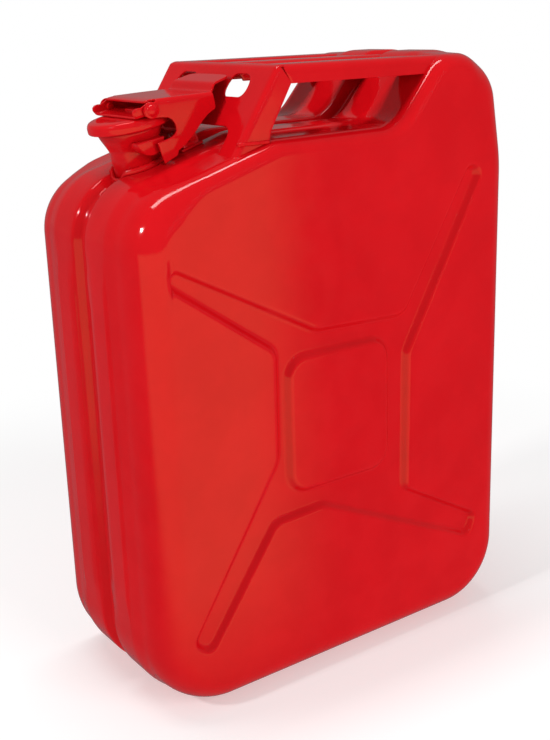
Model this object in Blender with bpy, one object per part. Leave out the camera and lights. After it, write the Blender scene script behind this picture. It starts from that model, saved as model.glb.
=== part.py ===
"""A 20 litre pressed-steel fuel can: two welded shells, a leaning neck with a hinged lid
and hook lever, and three handle bars behind a sloping front plate.
Metres, +Z up. X runs along the broad faces, Y through the thickness."""

import math

import bmesh
import bpy
from mathutils import Matrix, Vector

MM = 0.001

# Body
LENGTH = 345.0
THICK = 165.0
HEIGHT = 470.5
WALL = 1.0
FIT = 0.3
HALF = LENGTH / 2
SHOULDER_X, SHOULDER_Z = -HALF + 117.1, HEIGHT - 49.5
SLOPE_Z = HEIGHT - 84.5
HUMP_FOOT_X, HUMP_FOOT_Z = HALF - 120.6, HEIGHT - 48.0
HUMP_TOP_X = HALF - 78.4
SIDE_Z = HEIGHT - 84.3
TOP_LEAN = 14.3
EDGE_DEEP = 31.0
EDGE_WIDE = 22.6
DRAFT = 2.2
SEAM_DEEP = 6.0
SEAM_FLAT = 4.0
SEAM_HALF = 9.0
BAND_HALF = 36.0
BAND_RISE = 1.5

# X channel and centre pad of each face
CHANNEL_DEEP = 4.5

# Neck frame: its foot a little below the slope, and its lean towards -X
NECK_SINK = 3.4
NECK_X = -HALF + 51.4
SLOPE_RISE = (SHOULDER_Z - SLOPE_Z) / (SHOULDER_X + HALF)
NECK_FOOT = Vector((NECK_X, 0.0, SLOPE_Z + (NECK_X + HALF) * SLOPE_RISE - NECK_SINK))
NECK_LEAN = math.radians(10.0)
NECK_R = 17.5
NECK_WALL = 1.4
NECK_HOLE_R = NECK_R + FIT

# Lid and lever, in the neck frame: t towards the handles, s up the neck
LID_R = 29.6
LID_LOW, LID_TOP = 31.0, 39.0
PIVOT_T, PIVOT_S = 2.7, 43.2
HINGE_T, HINGE_S = 36.0, 15.6
CHEEK_IN, CHEEK_OUT = 30.5, 32.0
EAR_IN, EAR_OUT = 28.4, 29.9
PIN_R = 3.0

# Handles
HANDLE_HALF = 72.5
BAR_WIDE = 27.0
BAR_RISE = -2.7
BAR_TOP = HEIGHT + BAR_RISE
BAR_DEEP = 13.0
SHEET = 1.5
PLATE_LEAN = math.radians(33.8)
PLATE_FOOT = (SHOULDER_X - 28.7, SHOULDER_Z - 5.6)
PLATE_TOP = (PLATE_FOOT[0] + (BAR_TOP - PLATE_FOOT[1]) * math.tan(PLATE_LEAN), BAR_TOP)

for old in list(bpy.data.objects):
    bpy.data.objects.remove(old)

shown = bpy.data.collections.new("fuel_can")
bpy.context.scene.collection.children.link(shown)

neck_frame = Matrix.Translation(NECK_FOOT * MM) @ Matrix.Rotation(-NECK_LEAN, 4, "Y")


def paint(name, colour, metallic, rough):
    mat = bpy.data.materials.new(name)
    mat.use_nodes = True
    bsdf = mat.node_tree.nodes["Principled BSDF"]
    bsdf.inputs["Base Color"].default_value = (*colour, 1)
    bsdf.inputs["Metallic"].default_value = metallic
    bsdf.inputs["Roughness"].default_value = rough
    return mat


RED = (0.62, 0.012, 0.018)
DARK = (0.02, 0.02, 0.02)


def add(name, bm, frame=None, colour=RED, metallic=0.0, rough=0.25):
    """Puts a closed bmesh, in millimetres, into the scene as one named object."""
    bmesh.ops.recalc_face_normals(bm, faces=bm.faces)
    bm.transform(Matrix.Scale(MM, 4))
    mesh = bpy.data.meshes.new(name)
    bm.to_mesh(mesh)
    bm.free()
    obj = bpy.data.objects.new(name, mesh)
    shown.objects.link(obj)
    if frame is not None:
        mesh.transform(frame)
    mesh.materials.append(paint(name, colour, metallic, rough))
    return obj


def boolean(obj, other, operation="DIFFERENCE"):
    """Applies one exact Boolean and drops the other object."""
    mod = obj.modifiers.new("cut", "BOOLEAN")
    mod.operation = operation
    mod.solver = "EXACT"
    mod.object = other
    graph = bpy.context.evaluated_depsgraph_get()
    result = bpy.data.meshes.new_from_object(obj.evaluated_get(graph))
    obj.modifiers.clear()
    kept = obj.data.materials[0]
    obj.data = result
    obj.data.materials.clear()
    obj.data.materials.append(kept)
    for poly in obj.data.polygons:
        poly.material_index = 0
    bpy.data.objects.remove(other)
    return obj


def rounded(corners, inset, extra=(), coarse=22.5):
    """A closed outline from (x, z, radius) corners, anticlockwise, moved in by inset."""
    count = len(corners)
    lines = []
    for i in range(count):
        a = Vector(corners[i][:2])
        b = Vector(corners[(i + 1) % count][:2])
        along = (b - a).normalized()
        inward = Vector((-along.y, along.x))
        lines.append((a + inward * inset, along))
    points = []
    for i in range(count):
        p0, d0 = lines[i - 1]
        p1, d1 = lines[i]
        cross = d0.x * d1.y - d0.y * d1.x
        step = ((p1 - p0).x * d1.y - (p1 - p0).y * d1.x) / cross
        corner = p0 + d0 * step
        turn = math.atan2(cross, d0.dot(d1))
        radius = corners[i][2] - inset if turn > 0 else corners[i][2] + inset
        reach = radius * abs(math.tan(turn / 2))
        start = corner - d0 * reach
        side = Vector((-d0.y, d0.x)) * (1 if turn > 0 else -1)
        centre = start + side * radius
        arm = start - centre
        steps = max(2, math.ceil(abs(math.degrees(turn)) / coarse - 0.01))
        for k in range(steps + 1):
            angle = turn * k / steps
            c, s = math.cos(angle), math.sin(angle)
            points.append((centre.x + arm.x * c - arm.y * s, centre.y + arm.x * s + arm.y * c))
        for edge, where in extra:
            if edge == i:
                points.extend((p1.x if abs(d1.x) < 1e-9 else x, z) for x, z in where)
    return points


BODY = [
    (-HALF, 0.0, 62.0),
    (HALF, 0.0, 60.0),
    (HALF, SIDE_Z, 140.0),
    (HALF - TOP_LEAN, HEIGHT, 42.0),
    (HUMP_TOP_X, HEIGHT, 30.0),
    (HUMP_FOOT_X, HUMP_FOOT_Z, 30.0),
    (SHOULDER_X, SHOULDER_Z, 40.0),
    (-HALF, SLOPE_Z, 48.2),
]
BAND_LOW, BAND_HIGH = 73.0, HEIGHT - 135.0
BAND_FADE = 12.0
LEVELS = (BAND_LOW, BAND_LOW + BAND_FADE, (BAND_LOW + BAND_HIGH) / 2, BAND_HIGH - BAND_FADE, BAND_HIGH)
SIDES = ((1, [(0, z) for z in LEVELS]), (7, [(0, z) for z in reversed(LEVELS)]))


def body_ring(y, inset, band):
    ring = []
    for x, z in rounded(BODY, inset, SIDES, 13.0):
        if band and BAND_LOW + 1 < z < BAND_HIGH - 1 and abs(x) > HALF - inset - 0.01:
            x += math.copysign(BAND_RISE, x)
        ring.append(Vector((x, y, z)))
    return ring


def loft(rings):
    bm = bmesh.new()
    loops = [[bm.verts.new(p) for p in ring] for ring in rings]
    for lower, upper in zip(loops, loops[1:]):
        for i in range(len(lower)):
            j = (i + 1) % len(lower)
            bm.faces.new((lower[i], lower[j], upper[j], upper[i]))
    bm.faces.new(loops[0])
    bm.faces.new(loops[-1])
    return bm


def half_rings(side, wall, first):
    """Rings of one half from the seam out to the face, with the surface moved in by wall."""
    rings = [
        (first, SEAM_DEEP + wall, False),
        (SEAM_FLAT - 0.4 * wall, SEAM_DEEP + wall, False),
        (SEAM_HALF - 0.3 * wall, wall + 0.5, False),
        (SEAM_HALF + 2.0 - 0.2 * wall, wall, True),
        (BAND_HALF - 0.3 * wall, wall, True),
        (BAND_HALF + 2.0 - 0.3 * wall, wall, False),
    ]
    start = THICK / 2 - EDGE_DEEP
    for k in range(6):
        angle = math.radians(18 * k)
        y = start + (EDGE_DEEP - wall) * math.sin(angle)
        inset = DRAFT + wall + (EDGE_WIDE - wall) * (1 - math.cos(angle))
        rings.append((y, inset, False))
    return [body_ring(side * y, inset, band) for y, inset, band in rings]


PAD_X, PAD_Z = -7.5, 0.447 * HEIGHT
X_OUTLINE = [
    (-HALF + 25.1, 64.1, 9),
    (-HALF + 41.9, 49.9, 9),
    (PAD_X - 60.8, PAD_Z - 73.1, 10),
    (PAD_X - 17.0, PAD_Z - 71.1, 20),
    (HALF - 42.5, 66.7, 9),
    (HALF - 33.4, 88.3, 9),
    (PAD_X + 67.3, PAD_Z - 76.9, 8),
    (PAD_X + 68.9, PAD_Z + 35.3, 16),
    (HALF - 34.8, HEIGHT - 91.4, 8),
    (HALF - 49.1, HEIGHT - 81.5, 8),
    (PAD_X + 62.8, PAD_Z + 68.8, 12),
    (PAD_X - 20.3, PAD_Z + 71.8, 20),
    (-HALF + 22.2, HEIGHT - 123.3, 8),
    (-HALF + 21.3, HEIGHT - 140.7, 8),
    (PAD_X - 59.0, PAD_Z + 59.6, 10),
    (PAD_X - 59.9, PAD_Z - 22.3, 16),
]
PAD = [(PAD_X + a, PAD_Z + b, 14) for a, b in ((-45, -50), (45, -50), (45, 50), (-45, 50))]


def channel_cutter(side, wall):
    """The X channel with its pad left standing, for the outer face or, moved in, the inner one."""
    face = THICK / 2
    grow = wall * math.sqrt(2)

    def ring(corners, y, inset):
        return [Vector((x, side * y, z)) for x, z in rounded(corners, inset)]

    low = face - CHANNEL_DEEP - wall
    high = face + 1.5
    arms = loft([
        ring(X_OUTLINE, low, face - low - grow),
        ring(X_OUTLINE, high, face - high - grow),
    ])
    pad = loft([
        ring(PAD, low - 1, low - 1 - face + grow),
        ring(PAD, high + 1, high + 1 - face + grow),
    ])
    cutter = add("channel_cutter", arms)
    return boolean(cutter, add("pad_keeper", pad))


def lathe(profile, segments=32):
    """A closed bmesh turned from a closed (radius, height) outline, round the local Z axis."""
    bm = bmesh.new()
    rings = []
    for radius, height in profile:
        if radius < 1e-6:
            rings.append([bm.verts.new((0, 0, height))])
            continue
        turn = (2 * math.pi * k / segments for k in range(segments))
        rings.append([
            bm.verts.new((radius * math.cos(a), radius * math.sin(a), height)) for a in turn
        ])
    for i, ring in enumerate(rings):
        other = rings[(i + 1) % len(rings)]
        for k in range(segments):
            j = (k + 1) % segments
            if len(ring) == 1 and len(other) == 1:
                continue
            if len(ring) == 1:
                bm.faces.new((ring[0], other[k], other[j]))
            elif len(other) == 1:
                bm.faces.new((ring[k], ring[j], other[0]))
            else:
                bm.faces.new((ring[k], ring[j], other[j], other[k]))
    return bm


def prism(outline, y0, y1):
    """A closed bmesh from an outline of (x, z) points, between two Y planes."""
    return loft([[Vector((x, y, z)) for x, z in outline] for y in (y0, y1)])


def rod(p0, p1, radius, segments=20):
    """A cylinder between two points."""
    p0, p1 = Vector(p0), Vector(p1)
    bm = bmesh.new()
    bmesh.ops.create_cone(
        bm, cap_ends=True, segments=segments, radius1=radius, radius2=radius,
        depth=(p1 - p0).length,
    )
    turn = Vector((0, 0, 1)).rotation_difference(p1 - p0).to_matrix().to_4x4()
    bm.transform(Matrix.Translation((p0 + p1) / 2) @ turn)
    return bm


def solid_body(grow):
    """The can's outside as one closed solid, both halves, moved out by grow."""
    near = half_rings(-1, -grow, 0.1)
    far = half_rings(1, -grow, 0.1)
    return add("body_cutter", loft(near[::-1] + far))


# Shells
for name, side in (("near_shell", -1), ("far_shell", 1)):
    shell = add(name, loft(half_rings(side, 0.0, FIT / 2)))
    boolean(shell, channel_cutter(side, 0.0))
    hollow = add("hollow", loft(half_rings(side, WALL, -3.0)))
    boolean(hollow, channel_cutter(side, WALL))
    boolean(shell, hollow)
    boolean(shell, add("neck_cut", rod((0, 0, -20), (0, 0, 20), NECK_HOLE_R, 32), neck_frame))

# Neck
neck_out = [
    (NECK_R, -6), (NECK_R, 8.6), (19.2, 12), (20.0, 18), (22.5, 20.5), (25.5, 22.8),
    (26.5, 25.5), (25.8, 28.3), (24.0, 30.0), (24.0, 32.5),
]
neck_in = [
    (22.5, 32.5), (22.5, 29.8), (24.2, 27.6), (25.0, 25.5), (24.4, 23.8), (21.8, 22.0),
    (18.6, 18.4), (17.8, 12.2), (NECK_R - NECK_WALL, 8.8), (NECK_R - NECK_WALL, -6),
]
neck = add("neck", lathe(neck_out + neck_in, 40), neck_frame)

# Weld collar that follows the can round the foot of the neck
collar_ring = [(NECK_HOLE_R, -16), (20.6, -16), (20.6, 16), (NECK_HOLE_R, 16)]
collar = add("neck_collar", lathe(collar_ring, 40), neck_frame)
boolean(collar, solid_body(2.4), "INTERSECT")
boolean(collar, solid_body(FIT))

# Cam lugs, one on each side of the neck, each with its stud
LUG_R, LUG_TOP = 12.0, 22.2
STUD_T, STUD_S, STUD_R = 1.5, 24.2, 2.5
for name, side in (("neck_lug_near", -1), ("neck_lug_far", 1)):
    half_disc = []
    for k in range(17):
        a = math.pi + math.pi * k / 16
        half_disc.append((LUG_R * math.cos(a), LUG_TOP + LUG_R * math.sin(a)))
    lug = add(name, prism(half_disc, side * 12, side * 28.2), neck_frame)
    keep = add("stud_tab", prism([(-4, 19), (8, 19), (8, 24.5), (5, 27.4), (-2, 27.4), (-4, 24.5)],
                                 side * 27.1, side * 28.1), neck_frame)
    boolean(lug, keep, "UNION")
    stud = add("stud", rod((STUD_T, side * 27.5, STUD_S), (STUD_T, side * 33.0, STUD_S), STUD_R),
               neck_frame)
    boolean(lug, stud, "UNION")
    hub = [(0, -8)] + [(r + FIT, s - (0.2 if r > 20 else 0)) for r, s in neck_out] + [(0, 32.5)]
    boolean(lug, add("neck_hub", lathe(hub, 40), neck_frame))

# Lid and its gasket
lid_outline = [
    (0, LID_TOP), (LID_R - 6, LID_TOP), (LID_R - 2, 38.4), (LID_R - 0.5, 36.8), (LID_R, 34.8),
    (LID_R, 32), (LID_R - 0.6, LID_LOW), (LID_R - 1.3, LID_LOW), (LID_R - 1.8, 32),
    (LID_R - 1.8, 35.8), (18, 35.8), (16, 37.6), (0, 37.6),
]
add("lid", lathe(lid_outline, 40), neck_frame)
gasket_outline = [(20, 32.8), (LID_R - 2.2, 32.8), (LID_R - 2.2, 35.5), (20, 35.5)]
add("gasket", lathe(gasket_outline, 40), neck_frame, DARK, 0.0, 0.7)

# Yoke: strap over the lid, an ear on each side, and an arm back to the hinge barrel
STRAP_LOW = LID_TOP + FIT
ear = [
    (-11.0, STRAP_LOW), (7.5, STRAP_LOW), (PIVOT_T + 5.0, PIVOT_S), (PIVOT_T + 4.4, PIVOT_S + 2.6),
    (PIVOT_T + 2.4, PIVOT_S + 4.4), (PIVOT_T, PIVOT_S + 5.0), (PIVOT_T - 3.4, PIVOT_S + 4.2),
    (-5.0, 46.6), (-9.4, 46.8), (-11.8, 45.2), (-12.4, 42.8),
]
yoke = add("lid_yoke", prism([
    (-11.0, STRAP_LOW), (7.5, STRAP_LOW), (7.5, STRAP_LOW + SHEET), (-11.0, STRAP_LOW + SHEET),
], -29.6, 29.6), neck_frame)
for side in (-1, 1):
    boolean(yoke, add("ear", prism(ear, side * EAR_IN, side * EAR_OUT), neck_frame), "UNION")
arm_outline = [
    (-6.0, STRAP_LOW + 0.1), (31.0, STRAP_LOW + 0.1), (31.6, 38.6), (31.6, 14.0), (34.0, 12.0),
    (38.0, 18.0), (33.4, 20.0), (33.4, 39.6), (32.6, 41.0), (31.4, 41.6), (-6.0, 41.6),
]
boolean(yoke, add("arm", prism(arm_outline, -11, 11), neck_frame), "UNION")
barrel = rod((HINGE_T, -14, HINGE_S), (HINGE_T, 14, HINGE_S), PIN_R + 2.4, 24)
boolean(yoke, add("barrel", barrel, neck_frame), "UNION")
bore = rod((HINGE_T, -20, HINGE_S), (HINGE_T, 20, HINGE_S), PIN_R + FIT, 24)
boolean(yoke, add("bore", bore, neck_frame))
rivet_hole = rod((PIVOT_T, -40, PIVOT_S), (PIVOT_T, 40, PIVOT_S), 2.4 + FIT, 20)
boolean(yoke, add("rivet_hole", rivet_hole, neck_frame))
for side in (-1, 1):
    room = rod((PIVOT_T, side * 26, PIVOT_S), (PIVOT_T, side * EAR_IN, PIVOT_S), 2.9 + FIT, 20)
    boolean(yoke, add("rivet_room", room, neck_frame))

# Hinge bracket on the can's top, and its pin


def slope_s(t):
    """Height of the can's slope in the neck frame."""
    turn = math.atan(SLOPE_RISE) - NECK_LEAN
    return NECK_SINK * math.cos(NECK_LEAN) + (t - NECK_SINK * math.sin(NECK_LEAN)) * math.tan(turn)


bracket = add("hinge_bracket", prism([
    (HINGE_T - 9, -2), (HINGE_T + 9, -2), (HINGE_T + 9, slope_s(HINGE_T + 9) + 1.9),
    (HINGE_T - 9, slope_s(HINGE_T - 9) + 1.9),
], -19, 19), neck_frame)
bracket_ear = [
    (HINGE_T - 7, 0), (HINGE_T + 7, 0), (HINGE_T + 6.6, 13.0), (HINGE_T + 5.4, 17.8),
    (HINGE_T + 2.5, 20.6), (HINGE_T - 2.5, 20.6), (HINGE_T - 5.4, 17.8), (HINGE_T - 6.6, 13.0),
]
for side in (-1, 1):
    boolean(bracket, add("bracket_ear", prism(bracket_ear, side * 14.4, side * 17.0), neck_frame),
            "UNION")
room = rod((HINGE_T, -14.2, HINGE_S), (HINGE_T, 14.2, HINGE_S), PIN_R + 2.4 + 0.7, 24)
boolean(bracket, add("room", room, neck_frame))
slot = [
    (HINGE_T - 16, -10), (HINGE_T + 24, -10), (HINGE_T + 24, slope_s(HINGE_T + 24) - 0.7),
    (HINGE_T - 16, slope_s(HINGE_T - 16) - 0.7),
]
boolean(bracket, add("slot", prism(slot, -8, 8), neck_frame))
bracket_bore = rod((HINGE_T, -30, HINGE_S), (HINGE_T, 30, HINGE_S), PIN_R + FIT, 24)
boolean(bracket, add("bracket_bore", bracket_bore, neck_frame))
boolean(bracket, solid_body(FIT))
pin = rod((HINGE_T, -19.5, HINGE_S), (HINGE_T, 19.5, HINGE_S), PIN_R, 24)
add("hinge_pin", pin, neck_frame, (0.5, 0.5, 0.5), 1.0, 0.3)

# Lever: web, two hooked cheeks and a thumb lip
cheek = [
    (4.8, 5.8), (15.0, 8.8), (16.2, 9.8), (17.6, 12.0), (23.5, 14.4), (40.6, 27.2), (48.4, 31.0), (52.8, 32.8),
    (53.8, 42.9), (50.0, 43.8), (33.4, 45.9), (23.8, 47.1), (8.0, 48.9), (4.2, 49.0), (1.2, 48.4),
    (-0.8, 46.9), (-2.4, 44.8), (-2.9, 42.4), (-2.2, 40.2), (0.4, 38.4), (5.0, 37.3), (14.2, 35.4),
    (17.4, 32.6), (18.8, 28.4), (18.2, 24.6), (15.6, 22.4), (10.0, 21.2), (2.4, 20.9),
]
web = [
    (7.4, 47.9), (23.6, 46.1), (33.2, 44.9), (50.0, 42.7), (54.4, 42.1), (54.8, 43.7), (50.3, 44.2),
    (33.5, 46.4), (23.9, 47.6), (7.4, 49.5),
]
lip = [
    (51.6, 42.9), (55.4, 42.3), (56.8, 46.2), (58.2, 47.3), (72.2, 49.1), (72.2, 50.6),
    (57.6, 48.8), (55.3, 47.6), (53.6, 44.3), (51.6, 43.8),
]
lever = add("lever", prism(web, -31.2, 31.2), neck_frame)
for side in (-1, 1):
    plate = add("cheek", prism(cheek, side * CHEEK_IN, side * CHEEK_OUT), neck_frame)
    boolean(lever, plate, "UNION")
boolean(lever, add("lip", prism(lip, -28, 28), neck_frame), "UNION")
lever_hole = rod((PIVOT_T, -40, PIVOT_S), (PIVOT_T, 40, PIVOT_S), 2.4 + FIT, 20)
boolean(lever, add("lever_hole", lever_hole, neck_frame))

# Lever rivets
for name, side in (("lever_rivet_near", -1), ("lever_rivet_far", 1)):
    rivet = lathe([
        (0, 27.2), (2.9, 27.2), (2.9, 28.1), (2.4, 28.1), (2.4, CHEEK_OUT + FIT),
        (4.8, CHEEK_OUT + FIT), (4.4, 33.6), (2.8, 34.4), (0, 34.7),
    ], 20)
    rivet.transform(Matrix.Translation((PIVOT_T, 0, PIVOT_S))
                    @ Matrix.Rotation(-side * math.pi / 2, 4, "X"))
    add(name, rivet, neck_frame)

# Breather tube from the neck back to the air space under the hump
TUBE_R = 3.5
tube_t = NECK_R - NECK_WALL - FIT - TUBE_R
lean_c, lean_s = math.cos(NECK_LEAN), math.sin(NECK_LEAN)


def neck_point(t, s):
    return Vector((NECK_FOOT.x + lean_c * t - lean_s * s, 0, NECK_FOOT.z + lean_s * t + lean_c * s))


def tube(path, radius, segments=12):
    """A round tube's outside along a flat path in the XZ plane."""
    rings = []
    for i, point in enumerate(path):
        before = path[max(i - 1, 0)]
        after = path[min(i + 1, len(path) - 1)]
        along = (after - before).normalized()
        side = Vector((0, 1, 0))
        up = along.cross(side)
        turn = (2 * math.pi * k / segments for k in range(segments))
        rings.append([point + (side * math.cos(a) + up * math.sin(a)) * radius for a in turn])
    return loft(rings)


route = [neck_point(tube_t, 22), neck_point(tube_t, 0), neck_point(tube_t, -14)]
bend = [neck_point(tube_t + 2.5, -21), neck_point(tube_t + 9, -26), neck_point(tube_t + 18, -27)]
route += bend + [
    Vector((SHOULDER_X - 4.6, 0, SHOULDER_Z - 34)), Vector((HUMP_FOOT_X - 12, 0, HUMP_FOOT_Z - 18)),
    Vector((HUMP_FOOT_X + 6, 0, HUMP_FOOT_Z - 13)), Vector((HUMP_FOOT_X + 20, 0, HUMP_FOOT_Z)),
    Vector((HUMP_FOOT_X + 34, 0, HUMP_FOOT_Z + 17.5)),
]
breather = add("breather_tube", tube(route, TUBE_R), None, (0.5, 0.5, 0.5), 1.0, 0.4)
first, last = route[0] - route[1], route[-1] - route[-2]
inner = [route[0] + first.normalized() * 2] + route[1:-1] + [route[-1] + last.normalized() * 2]
boolean(breather, add("tube_bore", tube(inner, TUBE_R - 0.8)))

# Handle front plate: sloping sheet with side flanges, feet, and two openings between the bars
foot = Vector(PLATE_FOOT)
top = Vector(PLATE_TOP)
up_plate = (top - foot).normalized()
back_plate = Vector((up_plate.y, -up_plate.x))
low = foot - up_plate * 8
sheet = [low, low + back_plate * SHEET, top + back_plate * SHEET, top]
plate = add("handle_front_plate", prism(sheet, -HANDLE_HALF + 0.4, HANDLE_HALF - 0.4))
MITRE_LOW = top + Vector((10.6, -12.2))
mitre = (MITRE_LOW - top).normalized()
mitre_back = Vector((-mitre.y, mitre.x))
tuck = back_plate * 0.4
flange = [low + up_plate * 0.3 + tuck, foot + Vector((24.4, -4.0)), foot + Vector((26.4, 7.0)),
          MITRE_LOW, MITRE_LOW + mitre_back * 4, top + mitre_back * 4, top - up_plate * 0.5 + tuck]
for side in (-1, 1):
    wing = add("flange", prism(flange, side * (HANDLE_HALF - SHEET), side * HANDLE_HALF))
    boolean(plate, wing, "UNION")
WINDOW_IN, WINDOW_OUT = 22.0, 48.5
WINDOW_LOW, WINDOW_HIGH = BAR_TOP - 21.5, BAR_TOP - 6.5
corners = [(WINDOW_IN, WINDOW_LOW, 6), (WINDOW_OUT, WINDOW_LOW, 6), (WINDOW_OUT, WINDOW_HIGH, 8),
           (WINDOW_IN, WINDOW_HIGH, 8)]
for side in (-1, 1):
    ring = rounded(corners, 0)
    cut = loft([[Vector((x, side * y, z)) for y, z in ring] for x in (foot.x - 10, top.x + 30)])
    boolean(plate, add("window", cut))
GAP_HALF, GAP_TOP, GAP_LOW = 52.5, PLATE_FOOT[1] + 12.2, PLATE_FOOT[1] - 36.0
corners = [(-GAP_HALF, GAP_LOW, 1), (GAP_HALF, GAP_LOW, 1), (GAP_HALF, GAP_TOP, 8),
           (-GAP_HALF, GAP_TOP, 8)]
ring = rounded(corners, 0)
cut = loft([[Vector((x, y, z)) for y, z in ring] for x in (foot.x - 30, top.x + 20)])
boolean(plate, add("foot_gap", cut))
wedge = [top - mitre * 9, MITRE_LOW + mitre * 2, MITRE_LOW + mitre * 2 + Vector((60, 0)),
         top - mitre * 9 + Vector((60, 0))]
boolean(plate, add("mitre_trim", prism(wedge, -HANDLE_HALF - 10, HANDLE_HALF + 10)))
boolean(plate, solid_body(FIT))

# Handle bars: inverted channels from the mitre to the hump's shoulder
BAR_END = HUMP_TOP_X + 13.0
for name, middle in (("handle_bar_near", -HANDLE_HALF + BAR_WIDE / 2), ("handle_bar_middle", 0.0),
                     ("handle_bar_far", HANDLE_HALF - BAR_WIDE / 2)):
    w, low_z = BAR_WIDE / 2, BAR_TOP - BAR_DEEP
    out = [(w, low_z), (w, BAR_TOP - 5), (w - 1.2, BAR_TOP - 1.8), (w - 4, BAR_TOP)]
    inn = [(w - 4.6, BAR_TOP - SHEET), (w - 2.4, BAR_TOP - 2.8), (w - SHEET, BAR_TOP - 5.4),
           (w - SHEET, low_z)]
    section = (out + [(-y, z) for y, z in reversed(out)] + [(-y, z) for y, z in reversed(inn)]
               + inn)
    channel = loft([[Vector((x, middle + y, z)) for y, z in section] for x in (top.x - 15, BAR_END)])
    bar = add(name, channel)
    face = top + mitre_back * FIT
    a, b = face - mitre * 20, face + mitre * 40
    wedge = [a, b, b - Vector((60, 0)), a - Vector((60, 0))]
    boolean(bar, add("mitre_cut", prism(wedge, middle - BAR_WIDE, middle + BAR_WIDE)))
    boolean(bar, solid_body(FIT))
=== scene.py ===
"""Looks for the fuel can: glossy red enamel over pressed steel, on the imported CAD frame."""

import math

import bmesh
import bpy
import numpy as np
from mathutils import Matrix, Vector
from mathutils.geometry import delaunay_2d_cdt


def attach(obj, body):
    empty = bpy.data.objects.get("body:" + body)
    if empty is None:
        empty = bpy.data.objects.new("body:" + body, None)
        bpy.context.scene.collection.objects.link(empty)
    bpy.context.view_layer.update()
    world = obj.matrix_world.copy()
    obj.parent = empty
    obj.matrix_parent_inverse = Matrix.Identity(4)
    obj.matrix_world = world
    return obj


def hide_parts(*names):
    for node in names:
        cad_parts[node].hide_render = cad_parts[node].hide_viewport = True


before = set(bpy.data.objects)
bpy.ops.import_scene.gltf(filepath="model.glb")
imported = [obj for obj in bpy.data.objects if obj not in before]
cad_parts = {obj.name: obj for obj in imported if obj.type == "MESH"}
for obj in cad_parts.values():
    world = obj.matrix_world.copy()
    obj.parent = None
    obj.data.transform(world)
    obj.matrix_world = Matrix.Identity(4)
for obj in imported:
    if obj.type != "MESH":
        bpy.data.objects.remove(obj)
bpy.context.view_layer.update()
scene = bpy.context.scene
MM = 0.001

# Camera: angles in degrees, lengths in metres, lens and shift in the photograph's pixels
AZIMUTH, ELEVATION, ROLL = -35.445, 16.867, -1.694
DISTANCE, AIM_HEIGHT = 0.911978, 0.235
FOCAL_PX, SHIFT_PX, PICTURE_HIGH = 1129.507, (9.261, -12.399), 740
SENSOR = 36


def make_camera():
    """The photograph's viewpoint."""
    az, el, roll = map(math.radians, (AZIMUTH, ELEVATION, ROLL))
    back = Vector((math.sin(az) * math.cos(el), -math.cos(az) * math.cos(el), math.sin(el)))
    right = (-back).cross(Vector((0, 0, 1))).normalized()
    up = right.cross(-back)
    across = right * math.cos(roll) + up * math.sin(roll)
    over = up * math.cos(roll) - right * math.sin(roll)
    data = bpy.data.cameras.new("camera")
    data.sensor_width = SENSOR
    data.lens = SENSOR * FOCAL_PX / PICTURE_HIGH
    data.shift_x = -SHIFT_PX[0] / PICTURE_HIGH
    data.shift_y = SHIFT_PX[1] / PICTURE_HIGH
    data.clip_start, data.clip_end = 0.05, 20
    camera = bpy.data.objects.new("camera", data)
    turn = Matrix((across, over, back)).transposed().to_4x4()
    camera.matrix_world = Matrix.Translation(Vector((0, 0, AIM_HEIGHT)) + back * DISTANCE) @ turn
    scene.collection.objects.link(camera)
    scene.camera = camera


make_camera()


# Node graphs
class Value:
    """A float socket that turns Python arithmetic into Math nodes."""

    def __init__(self, graph, socket):
        self.graph, self.socket = graph, socket

    def _math(self, kind, *items):
        node = self.graph.add("ShaderNodeMath", {"operation": kind}, dict(enumerate(items)))
        return Value(self.graph, node.outputs[0])

    def __add__(self, other):
        return self._math("ADD", self, other)

    __radd__ = __add__

    def __mul__(self, other):
        return self._math("MULTIPLY", self, other)

    __rmul__ = __mul__

    def __sub__(self, other):
        return self._math("SUBTRACT", self, other)

    def __rsub__(self, other):
        return self._math("SUBTRACT", other, self)

    def between(self, low, high, to_low=0.0, to_high=1.0):
        """A smooth step from to_low, at low, to to_high, at high."""
        node = self.graph.add("ShaderNodeMapRange", {"interpolation_type": "SMOOTHSTEP"}, {
            "Value": self, "From Min": low, "From Max": high, "To Min": to_low, "To Max": to_high})
        return Value(self.graph, node.outputs["Result"])


class Graph:
    """The nodes of one material or of the world."""

    def __init__(self, tree):
        self.tree = tree

    def add(self, kind, settings, sockets):
        """A node of any type, with its settings first and then its sockets' values or links."""
        node = self.tree.nodes.new(kind)
        for key, value in settings.items():
            setattr(node, key, value)
        self.feed(node, sockets)
        return node

    def feed(self, node, sockets):
        for key, item in sockets.items():
            slot = node.inputs[key]
            if isinstance(item, Value):
                self.tree.links.new(item.socket, slot)
            elif isinstance(item, bpy.types.NodeSocket):
                self.tree.links.new(item, slot)
            elif slot.type == "RGBA":
                slot.default_value = (*item, 1)
            else:
                slot.default_value = item

    def noise(self, where, scale, detail=2.0, rough=0.5):
        node = self.add("ShaderNodeTexNoise", {}, {
            "Vector": where, "Scale": scale, "Detail": detail, "Roughness": rough})
        return Value(self, node.outputs["Fac"])

    def mix(self, amount, low, high):
        """A colour between two, by a float."""
        node = self.add("ShaderNodeMix", {"data_type": "RGBA"}, {"Factor": amount})
        self.feed(node, {6: low, 7: high})
        return node.outputs[2]

    def bump(self, height, strength, reach, below=None):
        sockets = {"Height": height, "Strength": strength, "Distance": reach}
        if below is not None:
            sockets["Normal"] = below
        return self.add("ShaderNodeBump", {}, sockets).outputs["Normal"]


# Materials
def new_material(name):
    mat = bpy.data.materials.new(name)
    mat.use_nodes = True
    graph = Graph(mat.node_tree)
    where = graph.add("ShaderNodeTexCoord", {}, {}).outputs["Object"]
    return mat, graph, mat.node_tree.nodes["Principled BSDF"], where


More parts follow.
